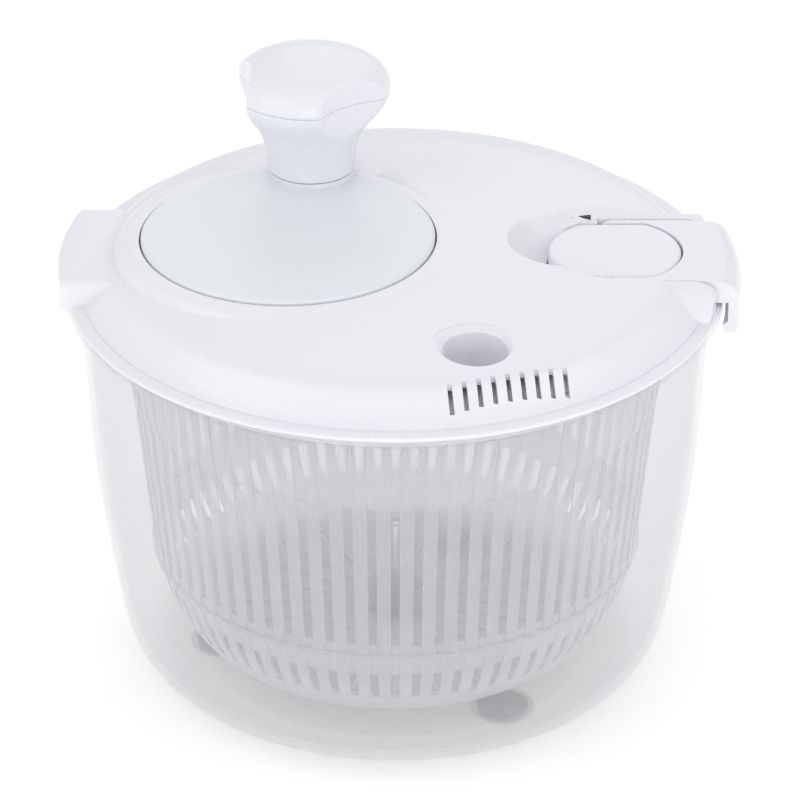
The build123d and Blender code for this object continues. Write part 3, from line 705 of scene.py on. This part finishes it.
hub_outline = [(8.1, 13.1), (10.4, 13.1), (10.4, 12.0), (13.6, 12.0), (13.6, 13.8), (12.0, 14.2),
               (11.2, 15.4), (11.0, 18.0)]
hub_outline += arc_line((9.6, 23.0), 1.4, 0, 90, 4) + [(0.0, 24.4), (0.0, 22.4), (8.1, 22.4)]
basket_hub = add_turned("basket_hub", hub_outline, milky_basket, 72)
rim_outline = [(99.2, 145.4), (101.6, 145.4)] + arc_line((101.9, 146.1), 0.7, -90, 0, 3)
rim_outline += arc_line((101.9, 147.3), 0.7, 0, 90, 3) + [(99.8, 148.0), (99.2, 147.4)]
basket_rim = add_turned("basket_rim", rim_outline, milky_basket, 240)
print("basket hub and rim ready")

# %% [markdown]
# ## The knob
# The knob's neck flares into a domed head with three wide finger scoops. We turn the plain outline
# first, with plenty of points, then press each scoop in: every point inside an upright cylinder slides
# towards the knob's axis until it meets the cylinder's face. A smooth minimum blends the two, so the
# lip of a scoop stays soft, as it is on a moulded part. A Boolean would leave it sharp.

# %% Scoops
knob_low, knob_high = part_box("knob_head")
spindle_low, spindle_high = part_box("knob_spindle")
KNOB_X, KNOB_Y = (((spindle_low + spindle_high) / 2) / MM).to_2d()
KNOB_SEAM_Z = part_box("knob_stem")[0].z / MM
KNOB_PARTING_Z = knob_low.z / MM
KNOB_TOP_Z = knob_high.z / MM
HEAD_R = 29.8
SCOOP_ANGLES = (-53.0, 67.0, 187.0)
SCOOP_R = 31.0
SCOOP_REACH = 22.2
SCOOP_SOFT = 1.6


def press_scoops(mesh):
    """Slide the knob's points inwards to the faces of three upright cylinders."""
    axis = Vector((KNOB_X, KNOB_Y, 0.0))
    for vertex in mesh.vertices:
        point = vertex.co / MM - axis
        for angle in SCOOP_ANGLES:
            turn = Matrix.Rotation(math.radians(angle), 3, "Z")
            local = turn.inverted() @ point
            if abs(local.y) > SCOOP_R:
                continue
            face = SCOOP_REACH + SCOOP_R - math.sqrt(SCOOP_R ** 2 - local.y ** 2)
            blend = max(SCOOP_SOFT - abs(local.x - face), 0.0) ** 2 / (4 * SCOOP_SOFT)
            local.x = min(local.x, face) - blend
            point = turn @ local
        vertex.co = (point + axis) * MM


def knob_piece(name, outline):
    """A turned half of the knob with its scoops pressed in."""
    mesh = turned_mesh(name, outline, 288, (KNOB_X, KNOB_Y), closed=True)
    press_scoops(mesh)
    piece = add_piece(name, mesh)
    piece.data.materials.append(white_gloss)
    sharpen(piece, 40)
    return piece


print("knob axis at", round(KNOB_X, 1), round(KNOB_Y, 1))

# %% [markdown]
# The knob is moulded in two halves, a stem and a head. A gap of a tenth of a millimetre or so between
# them shows as the fine parting line that runs round the knob's widest part.

# %% Knob outlines
parting = KNOB_PARTING_Z
stem_outside = [(16.1, KNOB_SEAM_Z), (16.5, KNOB_SEAM_Z + 0.4), (16.5, 176.6)]
stem_outside += smooth_line([(16.5, 179.0), (17.0, 182.0), (17.7, 185.0), (19.2, 189.0), (21.5, 193.2),
                             (25.4, 198.2), (28.4, 202.4), (29.5, parting - 0.9)], 6)
stem_outside += [(29.5, parting - 0.5), (29.1, parting - 0.08)]
stem_inside = [(19.0, parting - 0.08), (19.0, 193.4), (16.8, 189.0), (15.2, 184.5), (14.3, 180.0),
               (14.3, 176.8), (7.0, 176.8), (7.0, 195.7), (4.1, 195.7), (4.1, KNOB_SEAM_Z)]
knob_stem = knob_piece("knob_stem_moulded", stem_outside + stem_inside)

rise = KNOB_TOP_Z - parting
head_outside = [(29.2, parting + 0.06), (29.6, parting + 0.5)]
head_outside += smooth_line([(HEAD_R, parting + 1.2), (29.3, parting + 0.26 * rise),
                             (27.6, parting + 0.46 * rise), (24.6, parting + 0.64 * rise),
                             (20.0, parting + 0.79 * rise), (14.0, parting + 0.90 * rise),
                             (7.0, parting + 0.975 * rise), (0.0, KNOB_TOP_Z)], 7)
head_inside = [(0.0, parting + 0.6 * rise), (15.0, parting + 0.6 * rise), (15.0, parting + 0.06)]
knob_head = knob_piece("knob_head_moulded", head_outside + head_inside)
print("knob faces:", len(knob_stem.data.polygons) + len(knob_head.data.polygons))

# %% [markdown]
# ## Lid, crank, latch and brake pad
# These mouldings keep the CAD model's exact shape, because gears, pins and the well have to fit.
# Their copies get rounded edges: widest on the thick latch arm and narrowest on the thin crank disc.

# %% Softened mouldings
lid = moulded_copy("lid_shell", "lid_moulded", 0.5, 3)
lid.data.materials.append(white_gloss)
disc = moulded_copy("crank_disc", "crank_disc_moulded", 0.25, 2)
disc.data.materials.append(disc_white)
arm = moulded_copy("latch_arm", "latch_arm_moulded", 0.6, 3)
arm.data.materials.append(white_gloss)
pad = moulded_copy("brake_button", "brake_pad_moulded", 0.4, 2)
pad.data.materials.append(white_gloss)
print("moulded copies:", [piece.name for piece in (lid, disc, arm, pad)])

# %% [markdown]
# ## Walls inside the lid
# White walls close what the eye would otherwise look into. The first is the cup that hangs under the
# fill hole. Its top edge is raised to meet the lid's underside, which we find by casting a ray up from
# inside. The dome slopes there, so a flat edge would either stop short or come through the skin.

# %% Fill cup
FILL_CENTRE = (28.0, -79.0)
CUP_EDGE_Z = 163.0
PROBE_R = 13.0
PROBE_Z = 156.0
CUP_OVERLAP = 0.5


def meet_underside(cup):
    """Raise the cup's top edge until it enters the lid's skin."""
    corners = [vertex.co for vertex in lid.data.vertices]
    skin = BVHTree.FromPolygons(corners, [face.vertices for face in lid.data.polygons])
    centre = Vector((FILL_CENTRE[0] * MM, FILL_CENTRE[1] * MM, 0.0))
    for vertex in cup.data.vertices:
        if vertex.co.z > CUP_EDGE_Z * MM:
            outward = (vertex.co - centre).to_2d().normalized() * PROBE_R * MM
            start = Vector((centre.x + outward.x, centre.y + outward.y, PROBE_Z * MM))
            hit = skin.ray_cast(start, Vector((0.0, 0.0, 1.0)))[0]
            if hit:
                vertex.co.z = hit.z + CUP_OVERLAP * MM


cup_outline = [(11.7, 164.2), (11.1, 162.6), (11.0, 160.0), (10.4, 156.4), (9.3, 152.6), (9.3, 151.4),
               (11.2, 151.4), (12.4, 155.8), (13.2, 160.0), (14.2, 162.6), (14.4, 164.2)]
fill_cup = add_turned("fill_cup", cup_outline, white_gloss, 96, FILL_CENTRE)
meet_underside(fill_cup)
print("fill cup top at", round(max(vertex.co.z for vertex in fill_cup.data.vertices) / MM, 1), "mm")

# %% [markdown]
# The second is a guard below the drain slots: a sloping strip that follows the lid's edge for part of
# a turn. The turning helper only makes whole turns, so the strip gets a short function of its own.

# %% Drain guard
GUARD_START, GUARD_END = -84, -50
GUARD_LINE = ((94.0, 161.6), (107.5, 156.4), (107.5, 155.0), (94.0, 160.2))
GUARD_STEPS = 34


def arc_strip(name, line, start, end, steps):
    """A closed strip: one outline of radius and height, swept round part of a turn."""
    form = bmesh.new()
    rows = []
    for step in range(steps + 1):
        angle = math.radians(start + (end - start) * step / steps)
        places = [(r * math.cos(angle) * MM, r * math.sin(angle) * MM, z * MM) for r, z in line]
        rows.append([form.verts.new(place) for place in places])
    count = len(line)
    for near, far in zip(rows, rows[1:]):
        for index in range(count):
            after = (index + 1) % count
            form.faces.new((near[index], near[after], far[after], far[index]))
    form.faces.new(rows[0])
    form.faces.new(rows[-1])
    bmesh.ops.recalc_face_normals(form, faces=form.faces)
    piece = add_piece(name, mesh_from(form, name))
    piece.data.materials.append(white_gloss)
    return piece


drain_guard = arc_strip("drain_guard", GUARD_LINE, GUARD_START, GUARD_END, GUARD_STEPS)
print("drain guard faces:", len(drain_guard.data.polygons))

# %% [markdown]
# The last are two small plates, one under each inner corner of the latch recess. They mirror each other
# across the lid's middle line, so one box of limits serves both.

# %% Corner backings
BACKING_LOW, BACKING_HIGH = (69.0, 23.0, 162.6), (73.2, 27.8, 164.3)


def corner_backings(name):
    """Two small plates under the inner corners of the latch recess."""
    form = bmesh.new()
    for side in (-1, 1):
        cube = bmesh.ops.create_cube(form, size=1.0)
        for vertex in cube["verts"]:
            for axis in range(3):
                low, high = BACKING_LOW[axis], BACKING_HIGH[axis]
                vertex.co[axis] = ((low + high) / 2 + vertex.co[axis] * (high - low)) * MM
            vertex.co.y *= side
    bmesh.ops.recalc_face_normals(form, faces=form.faces)
    piece = add_piece(name, mesh_from(form, name))
    piece.data.materials.append(white_gloss)
    return piece


backings = corner_backings("recess_backings")
print("corner backing faces:", len(backings.data.polygons))

# %% [markdown]
# ## Hidden and small pieces
# The gears, shafts and fasteners stay as the CAD made them and only need their finish. Assigning a
# material to the slot leaves the mesh alone.

# %% Finishes of the CAD pieces
FINISHES = {
    "gear_cover": white_satin, "rotor_plate": white_satin,
    "crank_gear": acetal, "drive_pinion": acetal, "drive_bush": acetal, "crank_bush": acetal,
    "basket_bush": bush_grey, "brake_shoe": shoe_dark,
    "rubber_foot_1": foot_grey, "rubber_foot_2": foot_grey, "rubber_foot_3": foot_grey,
    "pivot_pin": steel, "cover_screws": steel, "crank_washer": steel, "crank_screw": steel,
    "knob_spindle": steel, "knob_washer": steel, "knob_screw": steel, "rotor_shaft": steel,
    "rotor_washer": steel, "rotor_screw": steel, "latch_pin": steel, "brake_spring": steel,
}
for node_name, finish in FINISHES.items():
    nodes[node_name].data.materials.clear()
    nodes[node_name].data.materials.append(finish)
print("finished CAD pieces:", len(FINISHES))

# %% [markdown]
# ## Floor
# The table is a pale, slightly uneven sheet, large enough to fill the picture from every side. A
# little glow in it does the work of a light table: it lifts the shadow and lights the clear bowl from
# below.

# %% Floor
FLOOR_GLOW = 0.24
FLOOR_HALF_SIZE = 6.0


def add_floor():
    """A plain pale sheet with a faint glow, kept out of the object itself."""
    form = bmesh.new()
    bmesh.ops.create_grid(form, x_segments=8, y_segments=8, size=FLOOR_HALF_SIZE)
    sheet = add_piece("floor", mesh_from(form, "floor"))
    material, tree, shader = new_finish("pale_floor")
    cloud = spread(tree, noise(tree, 3.0, 3.0), 0.0, 1.0)
    shade = tint(tree, cloud, (0.92, 0.92, 0.925), (0.94, 0.94, 0.94))
    tree.links.new(shade, shader.inputs["Base Color"])
    tree.links.new(spread(tree, noise(tree, 40.0, 3.0), 0.55, 0.65), shader.inputs["Roughness"])
    shader.inputs["Specular IOR Level"].default_value = 0.2
    shader.inputs["Emission Color"].default_value = (1.0, 1.0, 1.0, 1.0)
    shader.inputs["Emission Strength"].default_value = FLOOR_GLOW
    sheet.data.materials.append(material)
    return sheet


floor = add_floor()
print("floor half size in metres:", FLOOR_HALF_SIZE, "faces:", len(floor.data.polygons))

# %% [markdown]
# ## Join the looks to the moving bodies
# Each new piece rides on the body that it belongs to and stands for the CAD node that it hides.

# %% Bodies, replaced nodes and slots
PIECES = (
    (bowl, "bowl", ("bowl",), "clear_plastic"),
    (seats, "bowl", (), "clear_plastic"),
    (basket, "basket", ("basket",), "milky_plastic"),
    (basket_hub, "basket", (), "milky_plastic"),
    (basket_rim, "basket", (), "milky_plastic"),
    (lid, "lid", ("lid_shell",), "white_gloss"),
    (fill_cup, "lid", (), "white_gloss"),
    (drain_guard, "lid", (), "white_gloss"),
    (backings, "lid", (), "white_gloss"),
    (disc, "crank", ("crank_disc",), "white_gloss"),
    (arm, "latch", ("latch_arm",), "white_gloss"),
    (pad, "brake", ("brake_button",), "white_gloss"),
    (knob_stem, "knob", ("knob_stem",), "white_gloss"),
    (knob_head, "knob", ("knob_head",), "white_gloss"),
)
for piece, body, replaced, slot_name in PIECES:
    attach(piece, body)
    if replaced:
        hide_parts(*replaced)
print("pieces on bodies:", len(PIECES))
